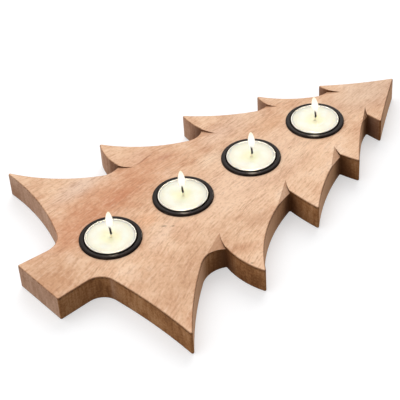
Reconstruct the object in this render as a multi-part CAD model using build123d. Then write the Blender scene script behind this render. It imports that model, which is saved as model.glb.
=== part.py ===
from build123d import *
from math import radians
import os

# Advent candle holder: a wooden fir-tree board with four drop-in metal cups,
# each holding a tealight. Millimetres, +Z up. The board lies flat on the table
# with its trunk towards -Y, and the origin is under the middle of its outline.

# The board
board_length = 359.6
board_width = 230.2
board_thickness = 20.6
edge_ease = 1.0
tip_radius = 1.2
notch_radius = 0.8
trunk_fillet_right = 14.0
trunk_fillet_left = 16.0
chip_depth = 2.4

# The row of cups
cup_count = 4
first_cup_from_trunk = 66.6
last_cup_from_apex = 87.8
cup_row_offset = 0.8

# The drop-in cup, pressed from sheet steel
flange_lap = 3.3
flange_height = 1.6
flange_round = 1.3
lip_round = 1.2
cup_wall = 0.7
cup_bottom_round = 1.6
hole_clearance = 0.3

# The tealight cup, pressed from aluminium foil stock
tealight_diameter = 37.0
tealight_height = 15.6
tealight_wall = 0.4
tealight_bottom_round = 1.2
rim_overhang = 0.55
rim_height = 0.9
rim_round = 0.35
tealight_clearance = 0.35
rim_above_board = 2.4

# The wax, the wick and the disc that holds the wick upright
wax_gap = 0.15
wax_below_rim = 0.5
pool_radius = 9.0
pool_depth = 0.8
wick_diameter = 1.6
wick_clearance = 0.1
wick_bend_radius = 9.0
wick_heights = [11.2, 10.0, 10.6, 9.9]
sustainer_diameter = 12.5
sustainer_thickness = 0.4
collar_height = 3.4
collar_wall = 0.4

# One overrun serves every cut
overrun = 2.0

# How far each wick's tip leans, and which way, in degrees
wick_leans = [24.0, 16.0, 14.0, 9.0]
wick_turns = [233.0, 200.0, 228.0, 250.0]

# The outline of each half, from the trunk up, as shares of half the width and of the length.
# Each tier has its tip, the mouth of the notch under it, the inner end of the groove carved on from
# that mouth, the hollow where its upper edge turns into the next notch, and how far its upper edge,
# its lower edge and its groove bow.
foot_shares = {"right": (0.216, 0.004), "left": (0.207, 0.000)}
fork_shares = {"right": (0.205, 0.109), "left": (0.185, 0.099)}
fork_bow_shares = {"right": -0.026, "left": -0.067}
tier_shares = {
    "right": [
        {"tip": (1.004, 0.134), "hollow": (0.569, 0.272), "upper": 0.03},
        {"tip": (0.893, 0.350), "mouth": (0.553, 0.338), "groove": (0.428, 0.357),
         "hollow": (0.496, 0.495), "upper": 0.07, "lower": 0.077, "carved": 0.045},
        {"tip": (0.689, 0.555), "mouth": (0.429, 0.550), "groove": (0.325, 0.569),
         "hollow": (0.450, 0.664), "upper": 0.034, "lower": 0.020, "carved": 0.040},
        {"tip": (0.522, 0.727), "mouth": (0.382, 0.713), "groove": (0.289, 0.724),
         "hollow": (0.272, 0.813), "upper": 0.012, "lower": 0.015, "carved": 0.025},
        {"tip": (0.315, 0.861), "mouth": (0.190, 0.858), "groove": (0.111, 0.877),
         "upper": 0.008, "lower": 0.005, "carved": 0.030},
    ],
    "left": [
        {"tip": (1.054, 0.146), "hollow": (0.557, 0.294), "upper": 0.073},
        {"tip": (0.851, 0.356), "mouth": (0.572, 0.339), "groove": (0.475, 0.364),
         "hollow": (0.451, 0.507), "upper": 0.075, "lower": 0.085, "carved": 0.090},
        {"tip": (0.710, 0.555), "mouth": (0.492, 0.554), "groove": (0.382, 0.568),
         "hollow": (0.389, 0.685), "upper": 0.045, "lower": 0.049, "carved": 0.040},
        {"tip": (0.517, 0.727), "mouth": (0.396, 0.722), "groove": (0.320, 0.734),
         "hollow": (0.218, 0.824), "upper": 0.067, "lower": 0.074, "carved": 0.060},
        {"tip": (0.306, 0.856), "mouth": (0.219, 0.860), "groove": (0.129, 0.877),
         "upper": 0.026, "lower": 0.052, "carved": 0.020},
    ],
}
apex_shares = (0.008, 1.003)

# Sizes that follow from the ones above
tealight_rim_radius = tealight_diameter / 2 + rim_overhang
cup_bore_radius = tealight_rim_radius + tealight_clearance
cup_outer_radius = cup_bore_radius + cup_wall
flange_radius = cup_outer_radius + flange_lap
tealight_base = board_thickness + rim_above_board - tealight_height
cup_base = tealight_base - cup_wall
hole_radius = cup_outer_radius + hole_clearance
hole_floor = cup_base - hole_clearance
cup_pitch = (board_length - first_cup_from_trunk - last_cup_from_apex) / (cup_count - 1)
wax_base = tealight_base + tealight_wall
wax_top = tealight_base + tealight_height - wax_below_rim
wax_radius = tealight_diameter / 2 - tealight_wall - wax_gap
wick_radius = wick_diameter / 2
collar_bore_radius = wick_radius + wick_clearance
collar_radius = collar_bore_radius + collar_wall


def spot(share, sign):
    """A point of the outline, from its share of half the width and of the length."""
    return Vector(sign * share[0] * board_width / 2, share[1] * board_length)


def bowed(start, end, share):
    """An arc whose middle stands off its chord by a share of the chord: towards the trunk if positive."""
    chord = end - start
    across = Vector(chord.Y, -chord.X)
    if across.Y > 0:
        across = -across
    return ThreePointArc(start, (start + end) / 2 + across * share, end)


class Half:
    """One half of the outline: its edges from trunk to apex, its corners and its carved grooves."""

    def __init__(self, side, sign):
        tiers = tier_shares[side]
        self.foot = spot(foot_shares[side], sign)
        self.fork = spot(fork_shares[side], sign)
        self.apex = spot(apex_shares, 1)
        self.tips = [spot(tier["tip"], sign) for tier in tiers]
        self.mouths = []
        self.grooves = []
        self.edges = [
            Line(self.foot, self.fork),
            bowed(self.fork, self.tips[0], fork_bow_shares[side]),
        ]
        for tier, next_tier, tip, next_tip in zip(tiers, tiers[1:], self.tips, self.tips[1:]):
            hollow = spot(tier["hollow"], sign)
            mouth = spot(next_tier["mouth"], sign)
            inner = spot(next_tier["groove"], sign)
            upper = bowed(tip, hollow, tier["upper"])
            throat = TangentArc(hollow, mouth, tangent=upper % 1)
            lower = bowed(mouth, next_tip, next_tier["lower"])
            self.edges += [upper, throat, lower]
            self.mouths.append(mouth)
            self.grooves.append((bowed(inner, mouth, next_tier["carved"]), mouth, hollow, inner))
        self.edges.append(bowed(self.tips[-1], self.apex, tiers[-1]["upper"]))


def nearest(vertices, points):
    """The corner of a face that lies at each of the points."""
    return [min(vertices, key=lambda corner: (Vector(corner) - point).length) for point in points]


def tree_face(halves):
    """The sawn outline as a flat face, its tips, notches and forks rounded."""
    right, left = halves
    heel = Line(left.foot, right.foot)
    face = make_face([heel] + right.edges + left.edges)
    tips = right.tips + left.tips + [right.apex, right.foot, left.foot]
    mouths = right.mouths + left.mouths
    face = fillet(nearest(face.vertices(), tips), tip_radius)
    face = fillet(nearest(face.vertices(), mouths), notch_radius)
    face = fillet(nearest(face.vertices(), [right.fork]), trunk_fillet_right)
    return fillet(nearest(face.vertices(), [left.fork]), trunk_fillet_left)


def chip_cut(groove):
    """The slanted chip carved beside a groove: flush at its far corners, deepest where the saw cut ends.

    Its block runs past the outline into the open notch, so the cut leaves no fin there.
    """
    wall, mouth, hollow, inner = groove
    top = board_thickness
    across = hollow - mouth
    ahead = (wall % 1 + across.normalized()).normalized()
    in_notch = mouth + ahead * across.length
    past_hollow = hollow + (hollow - inner).normalized() * overrun
    face = make_face([wall, Polyline(mouth, in_notch, past_hollow, inner)])
    block = Pos(0, 0, top - chip_depth - overrun) * extrude(face, chip_depth + 2 * overrun)
    flush_a = Vector(inner.X, inner.Y, top)
    flush_b = Vector(hollow.X, hollow.Y, top)
    deep = Vector(mouth.X, mouth.Y, top - chip_depth)
    normal = (flush_a - deep).cross(flush_b - deep)
    if normal.Z < 0:
        normal = -normal
    return split(block, bisect_by=Plane(origin=deep, z_dir=normal), keep=Keep.TOP)


def tree_board(halves, places):
    """The wooden board with eased edges, carved chips and a blind hole for each cup."""
    board = extrude(tree_face(halves), board_thickness)
    rims = board.faces().sort_by(Axis.Z)
    board = fillet(rims[0].edges() + rims[-1].edges(), edge_ease)
    for half in halves:
        for groove in half.grooves:
            board -= chip_cut(groove)
    for place in places:
        depth = board_thickness - hole_floor + overrun
        hole = Cylinder(hole_radius, depth, align=(Align.CENTER, Align.CENTER, Align.MIN))
        board -= Pos(place.X, place.Y, hole_floor) * hole
    return board


def turned(points, rounds):
    """A solid of revolution about Z from (radius, height) points, with the given corners rounded."""
    corners = [(radius, 0, height) for radius, height in points]
    face = make_face(Polyline(*corners, close=True))
    for (radius, height), size in rounds:
        face = fillet(nearest(face.vertices(), [Vector(radius, 0, height)]), size)
    return revolve(face, Axis.Z)


def candle_cup():
    """The drop-in cup: a flat floor, a straight wall and a rounded flange that rests on the board."""
    top = board_thickness + flange_height
    floor = cup_base + cup_wall
    points = [
        (0, cup_base), (cup_outer_radius, cup_base), (cup_outer_radius, board_thickness),
        (flange_radius, board_thickness), (flange_radius, top), (cup_bore_radius, top),
        (cup_bore_radius, floor), (0, floor),
    ]
    rounds = [
        ((flange_radius, top), flange_round), ((cup_bore_radius, top), lip_round),
        ((cup_outer_radius, cup_base), cup_bottom_round),
        ((cup_bore_radius, floor), cup_bottom_round - cup_wall),
    ]
    return turned(points, rounds)


def tealight_cup():
    """The candle's own thin cup, with a rim rolled outwards."""
    radius = tealight_diameter / 2
    bore = radius - tealight_wall
    top = tealight_base + tealight_height
    under_rim = top - rim_height
    points = [
        (0, tealight_base), (radius, tealight_base), (radius, under_rim),
        (tealight_rim_radius, under_rim), (tealight_rim_radius, top), (bore, top),
        (bore, wax_base), (0, wax_base),
    ]
    rounds = [
        ((radius, tealight_base), tealight_bottom_round),
        ((bore, wax_base), tealight_bottom_round - tealight_wall),
        ((tealight_rim_radius, under_rim), rim_round), ((tealight_rim_radius, top), rim_round),
        ((bore, top), rim_round),
    ]
    return turned(points, rounds)


def tealight_wax():
    """The wax: dished where it has melted, bored for the wick, hollowed below for the sustainer."""
    pool_floor = wax_top - pool_depth
    plate_radius = sustainer_diameter / 2 + wax_gap
    plate_top = wax_base + sustainer_thickness + wax_gap
    neck_radius = collar_radius + wax_gap
    neck_top = wax_base + collar_height + wax_gap
    bore = wick_radius + wick_clearance
    shore = Vector(pool_radius, 0, wax_top)
    brim = Vector(bore, 0, pool_floor)
    walls = Polyline(
        brim, (bore, 0, neck_top), (neck_radius, 0, neck_top), (neck_radius, 0, plate_top),
        (plate_radius, 0, plate_top), (plate_radius, 0, wax_base), (wax_radius, 0, wax_base),
        (wax_radius, 0, wax_top), shore,
    )
    dish = Bezier(shore, (pool_radius / 2, 0, wax_top), (pool_radius / 2, 0, pool_floor), brim)
    face = make_face(walls.edges() + [dish])
    heel = Vector(wax_radius, 0, wax_base)
    face = fillet(nearest(face.vertices(), [heel]), tealight_bottom_round)
    return revolve(face, Axis.Z)


def wick_sustainer():
    """The tinned disc at the bottom of the candle, with a collar crimped round the wick."""
    plate_top = wax_base + sustainer_thickness
    collar_top = wax_base + collar_height
    plate_radius = sustainer_diameter / 2
    points = [
        (collar_bore_radius, wax_base), (plate_radius, wax_base), (plate_radius, plate_top),
        (collar_radius, plate_top), (collar_radius, collar_top), (collar_bore_radius, collar_top),
    ]
    return turned(points, [])


def wick(height, lean, turn):
    """The wick: straight up through the wax, then bending over to its tip."""
    surface = wax_top - pool_depth
    knee = surface + height - wick_bend_radius * radians(lean)
    shank = Line((0, wax_base), (0, knee))
    curl = JernArc(shank @ 1, shank % 1, wick_bend_radius, -lean)
    path = Plane.XZ * (shank + curl)
    section = Pos(0, 0, wax_base) * Circle(wick_radius)
    return Rot(0, 0, turn) * sweep(section, path=path)


def write(name, solid):
    solid.label = name
    export_step(solid, f"parts/{name}.step")


os.makedirs("parts", exist_ok=True)
halves = [Half("right", 1), Half("left", -1)]
middle = tree_face(halves).bounding_box().center()
places = [
    Vector(-cup_row_offset, first_cup_from_trunk + index * cup_pitch) for index in range(cup_count)
]
write("tree_board", Pos(-middle.X, -middle.Y) * tree_board(halves, places))
print("outline middle", middle)
for index, place in enumerate(places):
    number = index + 1
    seat = Pos(place.X - middle.X, place.Y - middle.Y)
    print("cup", number, seat.position)
    write(f"candle_cup_{number}", seat * candle_cup())
    write(f"tealight_cup_{number}", seat * tealight_cup())
    write(f"tealight_wax_{number}", seat * tealight_wax())
    write(f"wick_sustainer_{number}", seat * wick_sustainer())
    write(f"wick_{number}", seat * wick(wick_heights[index], wick_leans[index], wick_turns[index]))
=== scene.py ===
import math

import bmesh
import bpy
from mathutils import Matrix, Vector


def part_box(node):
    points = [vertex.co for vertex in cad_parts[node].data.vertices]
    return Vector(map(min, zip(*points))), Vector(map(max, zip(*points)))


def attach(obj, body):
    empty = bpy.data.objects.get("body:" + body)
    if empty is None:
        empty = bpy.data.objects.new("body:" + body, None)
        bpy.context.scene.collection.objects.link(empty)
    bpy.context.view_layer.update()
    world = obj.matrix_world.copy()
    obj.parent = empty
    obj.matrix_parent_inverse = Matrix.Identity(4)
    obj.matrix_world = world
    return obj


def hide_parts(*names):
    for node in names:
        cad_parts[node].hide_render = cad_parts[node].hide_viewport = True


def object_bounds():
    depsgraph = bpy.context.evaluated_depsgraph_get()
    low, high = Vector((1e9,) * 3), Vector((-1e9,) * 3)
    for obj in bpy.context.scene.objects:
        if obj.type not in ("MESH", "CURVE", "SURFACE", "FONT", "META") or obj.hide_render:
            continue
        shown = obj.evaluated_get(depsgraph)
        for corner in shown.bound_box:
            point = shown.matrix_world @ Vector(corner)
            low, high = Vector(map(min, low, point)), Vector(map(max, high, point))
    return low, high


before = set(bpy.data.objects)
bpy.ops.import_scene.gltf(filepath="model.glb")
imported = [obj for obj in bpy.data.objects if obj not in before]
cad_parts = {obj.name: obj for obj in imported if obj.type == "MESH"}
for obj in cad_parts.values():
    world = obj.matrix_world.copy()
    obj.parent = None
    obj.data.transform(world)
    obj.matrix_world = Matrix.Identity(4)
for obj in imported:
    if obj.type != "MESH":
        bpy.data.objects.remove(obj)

cad_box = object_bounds()

# The tree board
# One plank of pale reddish hardwood, band-sawn to the outline of a fir, sanded, its edges eased and
# a chip carved out beside each notch. It is oiled, and the sawn walls drink more oil than the top.

mm = 0.001


def tint(red, green, blue):
    """A shader colour, from the eight-bit values that a picture of the surface would show."""
    shares = [value / 255 for value in (red, green, blue)]
    straight = [s / 12.92 if s <= 0.04045 else ((s + 0.055) / 1.055) ** 2.4 for s in shares]
    return (*straight, 1.0)


def add(tree, kind, inputs=None, **settings):
    """Adds a shader node, with its settings, and its inputs as values or as links from sockets."""
    node = tree.nodes.new(kind)
    for key, value in settings.items():
        setattr(node, key, value)
    for key, value in (inputs or {}).items():
        if isinstance(value, bpy.types.NodeSocket):
            tree.links.new(value, node.inputs[key])
        else:
            node.inputs[key].default_value = value
    return node


def work(tree, operation, *values):
    """One step of arithmetic on values or sockets."""
    return add(tree, "ShaderNodeMath", dict(enumerate(values)), operation=operation).outputs[0]


def fade(tree, value, low, high, low_result=0.0, high_result=1.0):
    """A smooth step from one result to the other as the value goes from low to high."""
    inputs = {
        "Value": value,
        "From Min": low,
        "From Max": high,
        "To Min": low_result,
        "To Max": high_result,
    }
    return add(tree, "ShaderNodeMapRange", inputs, interpolation_type="SMOOTHSTEP").outputs[0]


def colours(tree, share, first, second):
    """Two colours mixed by a share."""
    inputs = {0: share, 6: first, 7: second}
    return add(tree, "ShaderNodeMix", inputs, data_type="RGBA").outputs[2]


def steps(tree, value, stops):
    """A colour picked along a row of (place, colour) stops."""
    node = add(tree, "ShaderNodeValToRGB", {0: value})
    row = node.color_ramp.elements
    while len(row) < len(stops):
        row.new(1.0)
    for stop, (place, colour) in zip(row, stops):
        stop.position = place
        stop.color = colour
    return node.outputs[0]


def shared_effect(name, inputs, output):
    """An empty node group with named inputs and one output value; gives the tree and its two ends."""
    tree = bpy.data.node_groups.new(name, "ShaderNodeTree")
    for label, kind, value in inputs:
        socket = tree.interface.new_socket(label, in_out="INPUT", socket_type=kind)
        if value is not None:
            socket.default_value = value
    tree.interface.new_socket(output, in_out="OUTPUT", socket_type="NodeSocketFloat")
    return tree, tree.nodes.new("NodeGroupInput").outputs, tree.nodes.new("NodeGroupOutput").inputs


def use(tree, effect, inputs):
    """Places a shared effect in a material with its own values, and gives its output."""
    return add(tree, "ShaderNodeGroup", inputs, node_tree=effect).outputs[0]


def new_material(name):
    """A material with a bare Principled shader; gives the material, its tree and the shader."""
    material = bpy.data.materials.new(name)
    material.use_nodes = True
    tree = material.node_tree
    return material, tree, tree.nodes["Principled BSDF"]


def surface(tree, shader, colour, rough, height, bump_strength, bump_depth):
    """Links a finish's colour, roughness and relief to its shader."""
    inputs = {"Strength": bump_strength, "Distance": bump_depth, "Height": height}
    bump = add(tree, "ShaderNodeBump", inputs)
    tree.links.new(colour, shader.inputs["Base Color"])
    tree.links.new(rough, shader.inputs["Roughness"])
    tree.links.new(bump.outputs[0], shader.inputs["Normal"])


def dress(node_name, material):
    """Gives a CAD node its finish."""
    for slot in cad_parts[node_name].material_slots:
        slot.material = material


def streaks_effect():
    """Noise drawn out along one axis, as wood fibre is."""
    tree, given, result = shared_effect(
        "drawn-out streaks",
        [
            ("Place", "NodeSocketVector", None),
            ("Across per metre", "NodeSocketFloat", 100.0),
            ("Along per metre", "NodeSocketFloat", 5.0),
            ("Detail", "NodeSocketFloat", 2.0),
        ],
        "Streak",
    )
    parts = add(tree, "ShaderNodeSeparateXYZ", {0: given["Place"]}).outputs
    across = work(tree, "MULTIPLY", parts[0], given["Across per metre"])
    along = work(tree, "MULTIPLY", parts[1], given["Along per metre"])
    depth = work(tree, "MULTIPLY", parts[2], given["Across per metre"])
    drawn = add(tree, "ShaderNodeCombineXYZ", {0: across, 1: along, 2: depth}).outputs[0]
    noise = add(tree, "ShaderNodeTexNoise", {"Vector": drawn, "Scale": 1.0, "Detail": given["Detail"]})
    tree.links.new(noise.outputs[0], result["Streak"])
    return tree


def patches_effect():
    """Soft uneven patches, as of oil, dust or handling."""
    tree, given, result = shared_effect(
        "uneven patches",
        [
            ("Place", "NodeSocketVector", None),
            ("Patches per metre", "NodeSocketFloat", 20.0),
            ("Detail", "NodeSocketFloat", 3.0),
        ],
        "Patch",
    )
    inputs = {"Vector": given["Place"], "Scale": given["Patches per metre"], "Detail": given["Detail"]}
    noise = add(tree, "ShaderNodeTexNoise", inputs)
    tree.links.new(noise.outputs[0], result["Patch"])
    return tree


streaks = streaks_effect()
patches = patches_effect()


def patchy(tree, place, per_metre, detail):
    """The uneven patches at a place, so many to the metre."""
    return use(tree, patches, {"Place": place, "Patches per metre": per_metre, "Detail": detail})


grain_lean = math.radians(10)
grain_twist_per_metre = 2.5
# Each waver of the grain: how far it goes, and its patches to the metre
grain_wavers = [(5 * mm, 9.0), (1.2 * mm, 45.0)]
# Each mark of the plank: its place, half width, half length, lean in degrees, strength and colour
board_marks = [
    ((14, 10), 48, 120, 10, 0.85, (242, 206, 176)),
    ((-38, -78), 38, 112, 6, 0.80, (203, 136, 98)),
    ((-20, -128), 30, 56, -4, 0.75, (199, 130, 92)),
    ((-47, -25), 5, 12, 4, 0.60, (182, 120, 95)),
    ((-32, -82), 7, 20, 12, 0.50, (200, 130, 96)),
    ((3, -82), 12, 16, 10, 0.70, (231, 172, 131)),
    ((24, -84), 10, 26, 24, 0.70, (241, 208, 182)),
    ((72, -94), 36, 90, 20, 0.85, (204, 158, 124)),
    ((-64, -92), 16, 48, 8, 0.90, (234, 204, 181)),
    ((-44, 50), 20, 64, 12, 0.50, (229, 196, 171)),
    ((0, 152), 34, 58, 0, 0.85, (219, 188, 163)),
    ((6, -172), 40, 44, 0, 1.00, (199, 149, 113)),
    ((-20, 62), 11, 28, 8, 0.70, (212, 158, 118)),
    ((20, 58), 12, 30, 10, 0.70, (244, 210, 178)),
    ((-20, 0), 11, 24, 10, 0.80, (245, 214, 184)),
    ((-40, 22), 13, 24, 8, 0.60, (236, 200, 174)),
    ((-62, -40), 11, 20, 8, 0.50, (233, 192, 164)),
    ((60, -20), 13, 22, 10, 0.75, (204, 158, 126)),
    ((52, -122), 18, 26, 15, 0.60, (204, 156, 122)),
    ((-55.4, -38), 1.1, 16, 11, 0.80, (156, 100, 74)),
    ((-55.9, -17), 1.0, 12, -13, 0.60, (164, 108, 82)),
]
marks_left_on_light_grain = 0.72
# Each dark fleck: its place, half width and half length
board_flecks = [
    ((17.3, -76.4), 1.0, 3.4),
    ((21.8, -71.5), 0.8, 2.0),
    ((84.2, -61.7), 1.2, 2.0),
    ((91.3, -55.7), 1.0, 1.8),
]
fleck_lean = -37
fleck_strength = 0.8
# Each notch: its mouth, and how dark the painted shade on its walls is
notch_places = [
    ((66.0, -58.2), 0.85), ((51.7, 18.0), 0.85), ((46.2, 76.6), 0.85), ((24.2, 128.8), 0.85),
    ((-64.0, -57.9), 0.70), ((-54.8, 19.4), 0.80), ((-43.8, 79.8), 0.45), ((-23.5, 129.4), 0.60),
]
# How far the painted shade reaches from each notch's mouth
notch_reach = 17 * mm
# Where the right wing's walls begin to get painted shade, and where it is full
right_shade_start = 25 * mm
right_shade_full = 45 * mm
edge_ease = 1.0 * mm
# How far the painted shade line reaches down from the top of the right walls
brink_shade_reach = 2.6 * mm
# The painted contact shadow at the foot of every wall: its reach and its strength
foot_shadow_reach = 1.6 * mm
foot_shadow_strength = 0.6


def oval(tree, x, y, middle, half_width, half_length, lean):
    """A soft oval mask round a place on the board, its long way leaning left of the tree's axis."""
    angle = math.radians(lean)
    aside = work(tree, "SUBTRACT", x, middle[0] * mm)
    ahead = work(tree, "SUBTRACT", y, middle[1] * mm)
    wide = work(tree, "MULTIPLY", aside, math.cos(angle) / (half_width * mm))
    wide = work(tree, "MULTIPLY_ADD", ahead, math.sin(angle) / (half_width * mm), wide)
    long = work(tree, "MULTIPLY", ahead, math.cos(angle) / (half_length * mm))
    long = work(tree, "MULTIPLY_ADD", aside, -math.sin(angle) / (half_length * mm), long)
    flat = add(tree, "ShaderNodeCombineXYZ", {0: wide, 1: long}).outputs[0]
    far = add(tree, "ShaderNodeVectorMath", {0: flat}, operation="LENGTH").outputs["Value"]
    return fade(tree, far, 1.0, 0.0)


def board_wood():
    """Oiled hardwood in the solid: grain, pores and a red streak on top, brown sawn walls round it, and
    painted shade on the right walls, in the notches and at the walls' feet.
    """
    material, tree, shader = new_material("oiled_hardwood")
    spots = add(tree, "ShaderNodeTexCoord").outputs
    place = spots["Object"]
    x, y, z = add(tree, "ShaderNodeSeparateXYZ", {0: place}).outputs
    tilt_x, tilt_y, tilt_z = add(tree, "ShaderNodeSeparateXYZ", {0: spots["Normal"]}).outputs

    # Grain lines lean left of the tree's axis, and more so on the right wing
    lean_cos, lean_sin = math.cos(grain_lean), math.sin(grain_lean)
    across = work(tree, "MULTIPLY", x, lean_cos)
    across = work(tree, "ADD", across, work(tree, "MULTIPLY", y, lean_sin))
    twist = work(tree, "MULTIPLY", work(tree, "MULTIPLY", x, y), grain_twist_per_metre)
    along = work(tree, "MULTIPLY", y, lean_cos)
    along = work(tree, "SUBTRACT", along, work(tree, "MULTIPLY", x, lean_sin))
    across = work(tree, "ADD", across, twist)
    for reach, per_metre in grain_wavers:
        waver = patchy(tree, place, per_metre, 1.0)
        across = work(tree, "MULTIPLY_ADD", work(tree, "SUBTRACT", waver, 0.5), 2 * reach, across)
    fibre = add(tree, "ShaderNodeCombineXYZ", {0: across, 1: along, 2: z}).outputs[0]

    def grain(across_per_metre, along_per_metre, detail):
        """Streaks along the fibre, so many to the metre across it and along it."""
        inputs = {"Place": fibre, "Detail": detail}
        inputs["Across per metre"] = across_per_metre
        inputs["Along per metre"] = along_per_metre
        return use(tree, streaks, inputs)

    bands = grain(34.0, 8.0, 3.0)
    lines = grain(300.0, 40.0, 3.0)
    mottle = grain(330.0, 150.0, 3.0)
    specks = grain(900.0, 420.0, 3.0)
    hairs = grain(820.0, 66.0, 2.0)
    dashes = grain(1900.0, 90.0, 1.0)
    clouds = patchy(tree, place, 45.0, 3.0)

    tone = work(tree, "MULTIPLY_ADD", bands, 0.28, work(tree, "MULTIPLY", lines, 0.10))
    tone = work(tree, "MULTIPLY_ADD", mottle, 0.18, work(tree, "MULTIPLY_ADD", clouds, 0.44, tone))
    colour = steps(tree, tone, [
        (0.38, tint(203, 151, 116)),
        (0.46, tint(223, 178, 144)),
        (0.54, tint(235, 195, 161)),
        (0.63, tint(243, 209, 180)),
    ])
    for middle, half_width, half_length, lean, strength, mark_colour in board_marks:
        mark = oval(tree, x, y, middle, half_width, half_length, lean)
        least = strength * marks_left_on_light_grain
        mark = work(tree, "MULTIPLY", mark, fade(tree, tone, 0.36, 0.64, strength, least))
        colour = colours(tree, mark, colour, tint(*mark_colour))

    # Fine dark and light fibres, then short specks, then open pores in the darker bands
    fibre_brown = tint(160, 106, 75)
    colour = colours(tree, fade(tree, hairs, 0.28, 0.48, 0.30, 0.0), colour, fibre_brown)
    colour = colours(tree, fade(tree, hairs, 0.54, 0.72, 0.0, 0.22), colour, tint(251, 224, 199))
    colour = colours(tree, fade(tree, specks, 0.30, 0.50, 0.26, 0.0), colour, fibre_brown)
    colour = colours(tree, fade(tree, specks, 0.52, 0.70, 0.0, 0.18), colour, tint(250, 220, 192))
    open_bands = fade(tree, bands, 0.56, 0.40, 0.04, 0.50)
    pores = work(tree, "MULTIPLY", fade(tree, dashes, 0.58, 0.72), open_bands)
    colour = colours(tree, pores, colour, tint(146, 96, 70))
    for middle, half_width, half_length in board_flecks:
        fleck = oval(tree, x, y, middle, half_width, half_length, fleck_lean)
        fleck = work(tree, "MULTIPLY", fleck, fleck_strength)
        colour = colours(tree, fleck, colour, tint(84, 50, 36))

    # Each carved chip's slanted floor, and any face as gently sloped, is darker and browner
    chip = fade(tree, tilt_z, 0.996, 0.980, 0.0, 0.45)
    colour = colours(tree, chip, colour, tint(170, 116, 82))

    # The sawn walls: browner, with upright saw marks and torn specks of fibre; the right walls get
    # painted shade and, where they face back, a painted sheen
    wall = fade(tree, work(tree, "ABSOLUTE", tilt_z), 0.88, 0.35)
    upright = (1.0, 1.0, 0.15)
    drawn_up = add(tree, "ShaderNodeVectorMath", {0: place, 1: upright}, operation="MULTIPLY")
    saw = patchy(tree, drawn_up.outputs[0], 330.0, 4.0)
    torn = patchy(tree, place, 650.0, 3.0)
    wall_tone = work(tree, "MULTIPLY_ADD", saw, 0.30, work(tree, "MULTIPLY", clouds, 0.40))
    wall_tone = work(tree, "MULTIPLY_ADD", torn, 0.30, wall_tone)
    pale_wall = steps(tree, wall_tone, [
        (0.40, tint(168, 126, 100)),
        (0.50, tint(191, 151, 126)),
        (0.62, tint(210, 173, 148)),
    ])
    shaded_brown_wall = steps(tree, wall_tone, [
        (0.40, tint(130, 85, 50)),
        (0.50, tint(163, 113, 72)),
        (0.62, tint(190, 142, 100)),
    ])
    # Painted shade: walls facing right, and all walls of the right wing, take the darker brown
    far_right = fade(tree, x, right_shade_start, right_shade_full)
    right_wall_shade = work(tree, "MAXIMUM", fade(tree, tilt_x, 0.1, 0.5), far_right)
    wall_colour = colours(tree, right_wall_shade, pale_wall, shaded_brown_wall)
    # Painted sheen: right walls facing back are painted paler and warmer, as a painted reflection of the
    # white floor
    painted_sheen = work(tree, "MULTIPLY", right_wall_shade, fade(tree, tilt_y, 0.20, 0.65, 0.0, 0.80))
    wall_colour = colours(tree, painted_sheen, wall_colour, tint(243, 193, 154))
    colour = colours(tree, wall, colour, wall_colour)

    # Painted shade darkens the walls round the notches and the top of the right walls, a painted contact
    # shadow darkens the foot of every wall, and the eased edges are darker
    # Painted shade on the walls round each notch's mouth
    deep = None
    plan = add(tree, "ShaderNodeCombineXYZ", {0: x, 1: y}).outputs[0]
    for middle, dark in notch_places:
        mouth = (middle[0] * mm, middle[1] * mm, 0.0)
        far = add(tree, "ShaderNodeVectorMath", {0: plan, 1: mouth}, operation="DISTANCE")
        near = fade(tree, far.outputs["Value"], notch_reach, 0.0, 0.0, dark)
        deep = near if deep is None else work(tree, "MAXIMUM", deep, near)
    deep = work(tree, "MULTIPLY", deep, wall)
    colour = colours(tree, deep, colour, tint(84, 50, 27))
    edge = work(tree, "MULTIPLY", fade(tree, tilt_z, 0.96, 0.80), fade(tree, tilt_z, 0.05, 0.35))
    edge = work(tree, "MULTIPLY", edge, fade(tree, torn, 0.34, 0.60, 0.80, 0.20))
    colour = colours(tree, edge, colour, tint(112, 74, 50))
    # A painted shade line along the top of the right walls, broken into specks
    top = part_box("tree_board")[1].z
    brink_shade = work(tree, "MULTIPLY", fade(tree, z, top - brink_shade_reach, top - edge_ease), right_wall_shade)
    brink_shade = work(tree, "MULTIPLY", brink_shade, wall)
    brink_shade = work(tree, "MULTIPLY", brink_shade, fade(tree, torn, 0.42, 0.60, 0.1, 0.75))
    colour = colours(tree, brink_shade, colour, tint(56, 34, 22))
    # Painted contact shadow along the foot of every wall
    foot = work(tree, "MULTIPLY", fade(tree, z, foot_shadow_reach, 0.0), wall)
    foot = work(tree, "MULTIPLY", foot, foot_shadow_strength)
    colour = colours(tree, foot, colour, tint(92, 62, 44))

    rough = fade(tree, hairs, 0.3, 0.7, 0.62, 0.48)
    rough = work(tree, "MULTIPLY_ADD", wall, 0.12, rough)
    height = work(tree, "MULTIPLY_ADD", hairs, 0.5, work(tree, "MULTIPLY", pores, -0.9))
    height = work(tree, "MULTIPLY_ADD", work(tree, "MULTIPLY", wall_tone, wall), 1.6, height)
    surface(tree, shader, colour, rough, height, bump_strength=0.5, bump_depth=0.18 * mm)
    shader.inputs["Specular IOR Level"].default_value = 0.06
    return material


dress("tree_board", board_wood())

# The drop-in cups
# Each is pressed from thin sheet steel and enamelled satin black. Its rounded flange lies on the board
# and its wall hangs in the drilled hole, so it lifts straight out.

candle_numbers = (1, 2, 3, 4)


def from_axis(tree, generated):
    """How far a place on a round piece is from its axis, in shares of its width, and its height."""
    axis = (0.5, 0.5, 0.0)
    middle = add(tree, "ShaderNodeVectorMath", {0: generated, 1: axis}, operation="SUBTRACT")
    x, y, z = add(tree, "ShaderNodeSeparateXYZ", {0: middle.outputs[0]}).outputs
    flat = add(tree, "ShaderNodeCombineXYZ", {0: x, 1: y}).outputs[0]
    radius = add(tree, "ShaderNodeVectorMath", {0: flat}, operation="LENGTH")
    return radius.outputs["Value"], z


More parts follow.
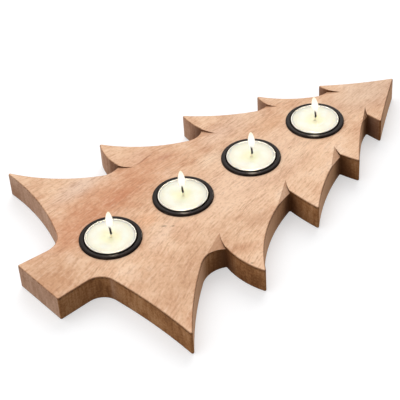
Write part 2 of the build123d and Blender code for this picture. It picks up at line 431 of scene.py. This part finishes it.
def turning_effect():
    """Fine rings round the axis of a pressed or turned piece, from its own generated coordinates."""
    tree, given, result = shared_effect(
        "turning rings",
        [("Place", "NodeSocketVector", None), ("Rings", "NodeSocketFloat", 60.0)],
        "Ring",
    )
    radius, rise = from_axis(tree, given["Place"])
    run = work(tree, "MULTIPLY", work(tree, "MULTIPLY_ADD", rise, 0.4, radius), given["Rings"])
    inputs = {"W": run, "Scale": 1.0, "Detail": 2.0}
    noise = add(tree, "ShaderNodeTexNoise", inputs, noise_dimensions="1D")
    tree.links.new(noise.outputs[0], result["Ring"])
    return tree


turning = turning_effect()


def cup_enamel():
    """Satin black stove enamel: a faint orange-peel surface, handled patches, a few dull scuffs."""
    material, tree, shader = new_material("black_enamel")
    spots = add(tree, "ShaderNodeTexCoord").outputs
    peel = patchy(tree, spots["Object"], 1400.0, 1.0)
    handled = patchy(tree, spots["Object"], 120.0, 4.0)
    rings = use(tree, turning, {"Place": spots["Generated"], "Rings": 90.0})
    scuffs = work(tree, "MULTIPLY", fade(tree, handled, 0.58, 0.70), fade(tree, peel, 0.50, 0.66))
    # The warm brown in the black is a painted reflection of the wood round the cup
    colour = colours(tree, handled, tint(22, 14, 10), tint(34, 22, 16))
    colour = colours(tree, scuffs, colour, tint(60, 54, 50))
    rough = work(tree, "MULTIPLY_ADD", rings, 0.06, fade(tree, handled, 0.3, 0.7, 0.12, 0.22))
    height = work(tree, "MULTIPLY_ADD", rings, 0.5, peel)
    surface(tree, shader, colour, rough, height, bump_strength=0.35, bump_depth=0.04 * mm)
    shader.inputs["Specular IOR Level"].default_value = 0.055
    return material


enamel = cup_enamel()
for number in candle_numbers:
    dress(f"candle_cup_{number}", enamel)

# The tealight cups
# Thin aluminium, deep-drawn in one stroke, so faint draw rings run round the wall, and the cut edge is
# rolled outwards into a bright rim. Each stands loose in its black cup.


def drawn_aluminium():
    """Drawn foil metal with draw rings, thumb-dulled patches and small dents."""
    material, tree, shader = new_material("drawn_aluminium")
    spots = add(tree, "ShaderNodeTexCoord").outputs
    rings = use(tree, turning, {"Place": spots["Generated"], "Rings": 140.0})
    dulled = patchy(tree, spots["Object"], 150.0, 3.0)
    dents = patchy(tree, spots["Object"], 260.0, 0.0)
    dull = fade(tree, dulled, 0.4, 0.7)
    # The grey is the metal's own; its warm cream cast is a painted reflection of the wax
    colour = colours(tree, dull, tint(182, 177, 165), tint(166, 161, 150))
    rough = work(tree, "MULTIPLY_ADD", rings, 0.12, fade(tree, dulled, 0.35, 0.7, 0.28, 0.42))
    height = work(tree, "MULTIPLY_ADD", dents, 2.0, rings)
    surface(tree, shader, colour, rough, height, bump_strength=0.25, bump_depth=0.04 * mm)
    shader.inputs["Metallic"].default_value = 1.0
    return material


aluminium = drawn_aluminium()
for number in candle_numbers:
    dress(f"tealight_cup_{number}", aluminium)

# The wick sustainers
# A stamped disc of tinned steel under the wax, with a short collar crimped round the foot of the wick.
# Only its underside could be seen, through the wax's recess.


def tinned_steel():
    """Dull tinplate with stamping rings and grey flow patches."""
    material, tree, shader = new_material("tinned_steel")
    spots = add(tree, "ShaderNodeTexCoord").outputs
    rings = use(tree, turning, {"Place": spots["Generated"], "Rings": 40.0})
    flow = patchy(tree, spots["Object"], 700.0, 3.0)
    colour = colours(tree, flow, tint(168, 170, 172), tint(206, 207, 208))
    rough = work(tree, "MULTIPLY_ADD", rings, 0.15, fade(tree, flow, 0.3, 0.7, 0.28, 0.44))
    surface(tree, shader, colour, rough, rings, bump_strength=0.3, bump_depth=0.03 * mm)
    shader.inputs["Metallic"].default_value = 1.0
    return material


tin = tinned_steel()
for number in candle_numbers:
    dress(f"wick_sustainer_{number}", tin)

# The wax
# Cream paraffin poured into the aluminium cup. It has set with a raised edge where it wetted the wall,
# and the flame has melted a shallow, clearer pool round the wick. It stands for the CAD wax.

wax_segments = 96
wax_bore = 0.7 * mm
wax_neck = 1.45 * mm
wax_neck_rise = 3.55 * mm
wax_plate = 6.4 * mm
wax_plate_rise = 0.55 * mm
wax_heel_round = 1.2 * mm
wax_edge_rise = 0.25 * mm
wax_edge_reach = 0.8 * mm
wax_pool_radius = 10.0 * mm
wax_pool_wander = 1.1 * mm
wax_pool_bank = 7.0 * mm
wax_pool_depth = 0.5 * mm
wax_climb = 0.10 * mm
wax_climb_reach = 0.7 * mm
wax_swell = 0.05 * mm
wax_top_rings = 30


def middle_of(node_name):
    """The middle of a node's box, in plan."""
    low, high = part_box(node_name)
    return Vector(((low.x + high.x) / 2, (low.y + high.y) / 2, 0.0))


def new_piece(name, mesh_maker, material, body):
    """A smooth-shaded piece from a bmesh, with its finish, riding its body."""
    mesh = bpy.data.meshes.new(name)
    mesh_maker.normal_update()
    mesh_maker.to_mesh(mesh)
    mesh_maker.free()
    for face in mesh.polygons:
        face.use_smooth = True
    mesh.materials.append(material)
    piece = bpy.data.objects.new(name, mesh)
    bpy.context.scene.collection.objects.link(piece)
    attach(piece, body)
    return piece


def round_place(middle, radius, angle, height):
    """A place on a circle about an upright axis."""
    return middle + Vector((radius * math.cos(angle), radius * math.sin(angle), height))


def bridge(maker, rings, closed):
    """Joins rings of points, each point to its neighbours, into a skin."""
    pairs = list(zip(rings, rings[1:]))
    if closed:
        pairs.append((rings[-1], rings[0]))
    for lower, upper in pairs:
        count = len(lower)
        for index in range(count):
            after = (index + 1) % count
            maker.faces.new((lower[index], lower[after], upper[after], upper[index]))


def soft_step(share):
    """Nought to one with a soft start and end, and level outside that."""
    share = min(1.0, max(0.0, share))
    return share * share * (3 - 2 * share)


def wax_height(radius, angle, edge, top, number):
    """The height of the set wax at a place: raised edge, slow swell, melted pool, climb at the wick."""
    wander = math.sin(2 * angle + number) + 0.6 * math.sin(3 * angle + 2.3 * number)
    shore = wax_pool_radius + wax_pool_wander * wander / 1.6
    pool = soft_step((shore - radius) / wax_pool_bank)
    swell = math.sin(angle + 1.7 * number) + 0.5 * math.sin(4 * angle + number)
    rise = wax_edge_rise * math.exp((radius - edge) / wax_edge_reach)
    climb = wax_climb * math.exp((wax_bore - radius) / wax_climb_reach)
    set_wax = wax_swell * swell * (1 - pool) * radius / edge
    return top - wax_pool_depth * pool + set_wax + rise + climb


def wax_body(number):
    """The wax as one closed skin, hollowed below for the sustainer and bored for the wick."""
    low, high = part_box(f"tealight_wax_{number}")
    middle = middle_of(f"tealight_wax_{number}")
    edge = (high.x - low.x) / 2
    base, top = low.z, high.z
    under = [
        (wax_bore, base + wax_neck_rise),
        (wax_neck, base + wax_neck_rise),
        (wax_neck, base + wax_plate_rise),
        (wax_plate, base + wax_plate_rise),
        (wax_plate, base),
        (edge - wax_heel_round, base),
        (edge - wax_heel_round * 0.3, base + wax_heel_round * 0.3),
        (edge, base + wax_heel_round),
    ]
    maker = bmesh.new()
    rings = []
    angles = [2 * math.pi * index / wax_segments for index in range(wax_segments)]
    for radius, height in under:
        rings.append([maker.verts.new(round_place(middle, radius, a, height)) for a in angles])
    for step in range(wax_top_rings + 1):
        share = step / wax_top_rings
        radius = edge + (wax_bore - edge) * share
        ring = []
        for a in angles:
            height = wax_height(radius, a, edge, top, number)
            ring.append(maker.verts.new(round_place(middle, radius, a, height)))
        rings.append(ring)
    bridge(maker, rings, True)
    return maker


def cream_wax():
    """Cream paraffin: chalky and faintly crazed at the edge, clear in the pool, and yellower round the
    wick, partly as painted glow of the flame.
    """
    material, tree, shader = new_material("cream_paraffin")
    spots = add(tree, "ShaderNodeTexCoord").outputs
    radius, _ = from_axis(tree, spots["Generated"])
    cloud = patchy(tree, spots["Object"], 160.0, 4.0)
    bloom = patchy(tree, spots["Object"], 900.0, 3.0)
    pool_and_glow_edge = work(tree, "MULTIPLY_ADD", work(tree, "SUBTRACT", cloud, 0.5), 0.10, radius)
    wet = fade(tree, pool_and_glow_edge, 0.30, 0.10)
    colour = colours(tree, fade(tree, cloud, 0.35, 0.65), tint(252, 242, 221), tint(254, 247, 230))
    colour = colours(tree, fade(tree, radius, 0.34, 0.46, 0.0, 0.8), colour, tint(250, 236, 211))
    # Yellower round the wick: partly the clearer molten pool, partly painted glow of the flame
    colour = colours(tree, fade(tree, pool_and_glow_edge, 0.32, 0.06), colour, tint(254, 242, 203))
    rough = work(tree, "MULTIPLY_ADD", bloom, 0.2, fade(tree, wet, 0.0, 1.0, 0.36, 0.26))
    height = work(tree, "MULTIPLY", work(tree, "SUBTRACT", 1.0, wet), bloom)
    surface(tree, shader, colour, rough, height, bump_strength=0.3, bump_depth=0.06 * mm)
    shader.inputs["Specular IOR Level"].default_value = 0.12
    shader.inputs["Subsurface Weight"].default_value = 0.8
    shader.inputs["Subsurface Radius"].default_value = (1.0, 0.85, 0.6)
    shader.inputs["Subsurface Scale"].default_value = 5 * mm
    return material


paraffin = cream_wax()
for number in candle_numbers:
    wax = new_piece(f"wax_{number}", wax_body(number), paraffin, f"tealight_{number}")
    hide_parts(f"tealight_wax_{number}")

# The wicks
# Three plies of cotton, twisted and waxed. Each stands in its sustainer's collar, is cream where the wax
# soaks it, and is charred black and bent over where it burns. They stand for the CAD wicks.

wick_foot_radius = 0.95 * mm
wick_tip_radius = 0.75 * mm
# The middle of each wick in millimetres: heights over the floor, and how far it stands to the right
wick_bends = [
    [(25.0, 0.73), (28.5, 0.56), (33.2, -0.50)],
    [(25.0, 0.08), (29.0, -0.16), (32.0, -0.52)],
    [(25.0, 0.90), (27.5, 0.96), (32.4, 0.10)],
    [(24.5, 0.51), (27.4, 0.73), (31.8, -0.30)],
]
wick_straight_below = 20 * mm
wick_side = Vector((0.78, 0.63, 0.0))
wick_plies = 3
wick_ply_groove = 0.13
wick_twist_length = 5 * mm
wick_segments = 36
wick_step = 0.22 * mm
wick_tip_taper = 1.6 * mm
wick_tip_share = 0.35
wick_threads = 9
wick_thread_pitch = 1.1 * mm
wick_thread_depth = 0.02
char_above_wax = 2.0 * mm
char_blend = 0.9 * mm
char_unevenness = 1.2 * mm


def wick_path(number):
    """Gives a function of a height to the wick's middle there, with its foot and its tip's height."""
    foot = middle_of(f"wick_sustainer_{number}")
    foot.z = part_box(f"wick_{number}")[0].z
    (low, low_aside), (mid, mid_aside), (high, high_aside) = wick_bends[number - 1]

    def at(height):
        z = height / mm
        aside = low_aside * (z - mid) * (z - high) / ((low - mid) * (low - high))
        aside += mid_aside * (z - low) * (z - high) / ((mid - low) * (mid - high))
        aside += high_aside * (z - low) * (z - mid) / ((high - low) * (high - mid))
        aside *= soft_step((height - wick_straight_below) / (low * mm - wick_straight_below))
        return Vector((foot.x, foot.y, height)) + wick_side * aside * mm

    return at, foot.z, high * mm


def wick_body(number):
    """A twisted three-ply cord along the wick's path, thinned to a soft point where it burned."""
    at, base, tip = wick_path(number)
    maker = bmesh.new()
    rings = []
    count = int((tip - base) / wick_step)
    for step in range(count + 1):
        height = base + (tip - base) * step / count
        place = at(height)
        ahead = (at(height + wick_step) - at(height - wick_step)).normalized()
        side = ahead.cross(Vector((0.0, 1.0, 0.0))).normalized()
        other = side.cross(ahead)
        burned = soft_step((height - wick_straight_below) / (tip - wick_straight_below))
        girth = wick_foot_radius + (wick_tip_radius - wick_foot_radius) * burned
        taper = math.sqrt(soft_step((tip - height) / wick_tip_taper))
        girth *= wick_tip_share + (1 - wick_tip_share) * taper
        ring = []
        for index in range(wick_segments):
            angle = 2 * math.pi * index / wick_segments
            twist = wick_plies * angle - 2 * math.pi * height / wick_twist_length
            ply = abs(math.cos(twist / 2)) - 0.5
            thread = math.sin(wick_threads * angle + 2 * math.pi * height / wick_thread_pitch)
            radius = 1 - wick_ply_groove + wick_ply_groove * 1.6 * ply + wick_thread_depth * thread
            outward = side * math.cos(angle) + other * math.sin(angle)
            ring.append(maker.verts.new(place + outward * radius * girth))
        rings.append(ring)
    bridge(maker, rings, False)
    maker.faces.new(rings[0])
    maker.faces.new(reversed(rings[-1]))
    bmesh.ops.recalc_face_normals(maker, faces=maker.faces)
    return maker


def charred_cotton():
    """Waxed cotton, cream at the foot and charred from just above the pool."""
    material, tree, shader = new_material("charred_cotton")
    spots = add(tree, "ShaderNodeTexCoord").outputs
    z = add(tree, "ShaderNodeSeparateXYZ", {0: spots["Object"]}).outputs[2]
    fuzz = patchy(tree, spots["Object"], 1500.0, 3.0)
    char_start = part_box("tealight_wax_1")[1].z + char_above_wax
    line = work(tree, "MULTIPLY_ADD", work(tree, "SUBTRACT", fuzz, 0.5), char_unevenness, z)
    charred = fade(tree, line, char_start, char_start + char_blend)
    soaked = colours(tree, fuzz, tint(250, 240, 205), tint(254, 247, 222))
    black = colours(tree, fuzz, tint(6, 5, 5), tint(26, 21, 18))
    colour = colours(tree, charred, soaked, black)
    rough = fade(tree, charred, 0.0, 1.0, 0.42, 0.92)
    surface(tree, shader, colour, rough, fuzz, bump_strength=0.7, bump_depth=0.10 * mm)
    return material


cotton = charred_cotton()
for number in candle_numbers:
    cord = wick_body(number)
    wick = new_piece(f"wick_plies_{number}", cord, cotton, f"tealight_{number}")
    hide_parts(f"wick_{number}")

# The flames
# Burning wax vapour: a pale bright teardrop that starts below the wick's tip and leans in the draught.
# They have no solid in the CAD.

# Each flame's tip in millimetres: its height over the floor, and how far it leans along x and y
flame_tops = [42.9, 43.4, 43.4, 43.5]
flame_reaches = [(-2.8, 2.4), (-2.6, 1.3), (-1.9, 2.2), (-1.4, 0.3)]
flame_bend_power = 1.6
flame_radius = 2.85 * mm
flame_foot_below_tip = 4.6 * mm
flame_foot_power = 0.50
flame_tip_power = 0.60
flame_strength = 1.05
# A flame is far brighter than the eye of the camera takes in; glossy rays see it this much brighter,
# which paints its glint on the glossy pieces
flame_in_mirrors = (64.0, 54.0, 42.0, 1.0)
flame_rings = 40
flame_segments = 40


def flame_body(number):
    """A teardrop skin round a curved line from the wick to the flame's tip."""
    at, _, wick_tip = wick_path(number)
    start = at(wick_tip - flame_foot_below_tip)
    middle = middle_of(f"wick_sustainer_{number}")
    reach_x, reach_y = flame_reaches[number - 1]
    tip = middle + Vector((reach_x, reach_y, flame_tops[number - 1])) * mm
    widest = flame_foot_power / (flame_foot_power + flame_tip_power)
    widest_girth = widest ** flame_foot_power * (1 - widest) ** flame_tip_power
    maker = bmesh.new()
    rings = []
    for step in range(1, flame_rings):
        share = step / flame_rings
        spot = start.lerp(tip, share)
        spot.x = start.x + (tip.x - start.x) * share ** flame_bend_power
        spot.y = start.y + (tip.y - start.y) * share ** flame_bend_power
        girth = share ** flame_foot_power * (1 - share) ** flame_tip_power
        radius = flame_radius * girth / widest_girth
        ring = []
        for index in range(flame_segments):
            angle = 2 * math.pi * index / flame_segments
            ring.append(maker.verts.new(round_place(spot, radius, angle, 0.0)))
        rings.append(ring)
    bridge(maker, rings, False)
    for ring, end in ((rings[0], start), (rings[-1], tip)):
        point = maker.verts.new(end)
        for index in range(flame_segments):
            maker.faces.new((ring[index], ring[(index + 1) % flame_segments], point))
    bmesh.ops.recalc_face_normals(maker, faces=maker.faces)
    return maker


def flame_light():
    """The glow of a small flame: clear at its foot, where the wick shows, white-yellow in the body."""
    material, tree, shader = new_material("flame_glow")
    spots = add(tree, "ShaderNodeTexCoord").outputs
    rise = add(tree, "ShaderNodeSeparateXYZ", {0: spots["Generated"]}).outputs[2]
    glow = steps(tree, rise, [
        (0.0, tint(255, 240, 205)),
        (0.30, tint(255, 252, 238)),
        (0.60, tint(254, 255, 252)),
        (0.90, tint(255, 254, 240)),
        (1.0, tint(255, 244, 216)),
    ])
    waver = patchy(tree, spots["Object"], 260.0, 1.0)
    facing = add(tree, "ShaderNodeLayerWeight", {"Blend": 0.5}).outputs["Facing"]
    solid = fade(tree, rise, 0.22, 0.42)
    solid = work(tree, "MULTIPLY", solid, fade(tree, waver, 0.2, 0.5, 0.94, 1.0))
    solid = work(tree, "MULTIPLY", solid, fade(tree, facing, 0.98, 0.55, 0.25, 1.0))
    glow = colours(tree, fade(tree, facing, 0.45, 0.90, 0.0, 0.9), glow, tint(255, 216, 140))
    # Glossy rays see the flame far brighter, which paints its glint on the rings and rims
    mirrored = add(tree, "ShaderNodeLightPath").outputs["Is Glossy Ray"]
    tree.links.new(colours(tree, mirrored, glow, flame_in_mirrors), shader.inputs["Emission Color"])
    tree.links.new(solid, shader.inputs["Alpha"])
    shader.inputs["Base Color"].default_value = (0.0, 0.0, 0.0, 1.0)
    shader.inputs["Specular IOR Level"].default_value = 0.0
    shader.inputs["Emission Strength"].default_value = flame_strength
    material.cycles.emission_sampling = "NONE"
    return material


glow = flame_light()
for number in candle_numbers:
    new_piece(f"flame_{number}", flame_body(number), glow, f"tealight_{number}")

# The floor and the light
# A wide white studio floor under soft even light from all round. One broad lamp stands on the left and
# one behind, so a faint shadow lies to the right and in front.

floor_half = 5.0
floor_lift = 0.46
sky_level = 0.50
# Each lamp: its strength, the way to it, and its spread in degrees
lamps = {
    "left_lamp": (1.42, (-0.55, -0.62, 0.60), 105),
    "back_lamp": (1.30, (-0.52, 0.56, 0.66), 45),
}


def seen(tree):
    """One for what the camera sees, straight, mirrored or through a piece, and nought for other light."""
    path = add(tree, "ShaderNodeLightPath").outputs
    shown = work(tree, "MAXIMUM", path["Is Camera Ray"], path["Is Glossy Ray"])
    return work(tree, "MAXIMUM", shown, path["Is Transmission Ray"])


def floor_white():
    """White floor paper; it gives less light back to the object than the camera sees."""
    material, tree, shader = new_material("floor_paper")
    place = add(tree, "ShaderNodeTexCoord").outputs["Object"]
    shown = seen(tree)
    fibre = patchy(tree, place, 300.0, 3.0)
    white = colours(tree, fibre, tint(203, 203, 204), tint(208, 208, 209))
    colour = colours(tree, shown, tint(140, 138, 135), white)
    lift = colours(tree, shown, tint(0, 0, 0), tint(255, 255, 255))
    tree.links.new(colour, shader.inputs["Base Color"])
    tree.links.new(lift, shader.inputs["Emission Color"])
    shader.inputs["Emission Strength"].default_value = floor_lift
    shader.inputs["Roughness"].default_value = 1.0
    shader.inputs["Specular IOR Level"].default_value = 0.0
    return material


maker = bmesh.new()
bmesh.ops.create_grid(maker, x_segments=8, y_segments=8, size=floor_half)
floor_mesh = bpy.data.meshes.new("floor")
maker.to_mesh(floor_mesh)
maker.free()
floor_mesh.materials.append(floor_white())
floor = bpy.data.objects.new("floor", floor_mesh)
floor.location.z = cad_box[0][2]
bpy.context.scene.collection.objects.link(floor)

world = bpy.data.worlds.new("studio")
world.use_nodes = True
sky = world.node_tree
level = fade(sky, seen(sky), 0.0, 1.0, sky_level, 1.0)
sky.links.new(level, sky.nodes["Background"].inputs["Strength"])
sky.nodes["Background"].inputs["Color"].default_value = (1.0, 1.0, 1.0, 1.0)
bpy.context.scene.world = world

for name, (strength, side, spread) in lamps.items():
    lamp_data = bpy.data.lights.new(name, "SUN")
    lamp_data.energy = strength
    lamp_data.angle = math.radians(spread)
    lamp = bpy.data.objects.new(name, lamp_data)
    lamp.rotation_euler = Vector(side).to_track_quat("Z", "Y").to_euler()
    bpy.context.scene.collection.objects.link(lamp)

# The camera
# It looks down on the board from the trunk's right, a metre off, through a long lens, held slightly
# out of level.

camera_azimuth = math.radians(-52.70)
camera_elevation = math.radians(39.98)
camera_roll = math.radians(-4.01)
camera_distance = 994.4 * mm
camera_sensor = 36.0
camera_lens = 115.4
camera_aim = middle_of("candle_cup_1") + Vector((-7.7, 90.0, 0.0)) * mm
camera_aim.z = cad_box[0][2]

ahead = Vector((
    math.sin(camera_azimuth) * math.cos(camera_elevation),
    math.cos(camera_azimuth) * math.cos(camera_elevation),
    -math.sin(camera_elevation),
))
level_right = Vector((math.cos(camera_azimuth), -math.sin(camera_azimuth), 0.0))
level_up = level_right.cross(ahead)
right = level_right * math.cos(camera_roll) + level_up * math.sin(camera_roll)
up = level_up * math.cos(camera_roll) - level_right * math.sin(camera_roll)
stand = camera_aim - ahead * camera_distance

camera_data = bpy.data.cameras.new("camera")
camera_data.sensor_width = camera_sensor
camera_data.lens = camera_lens
camera_data.clip_end = 50.0
camera = bpy.data.objects.new("camera", camera_data)
camera.matrix_world = Matrix((
    (right.x, up.x, -ahead.x, stand.x),
    (right.y, up.y, -ahead.y, stand.y),
    (right.z, up.z, -ahead.z, stand.z),
    (0.0, 0.0, 0.0, 1.0),
))
bpy.context.scene.collection.objects.link(camera)
bpy.context.scene.camera = camera
bpy.context.scene.view_settings.view_transform = "Standard"
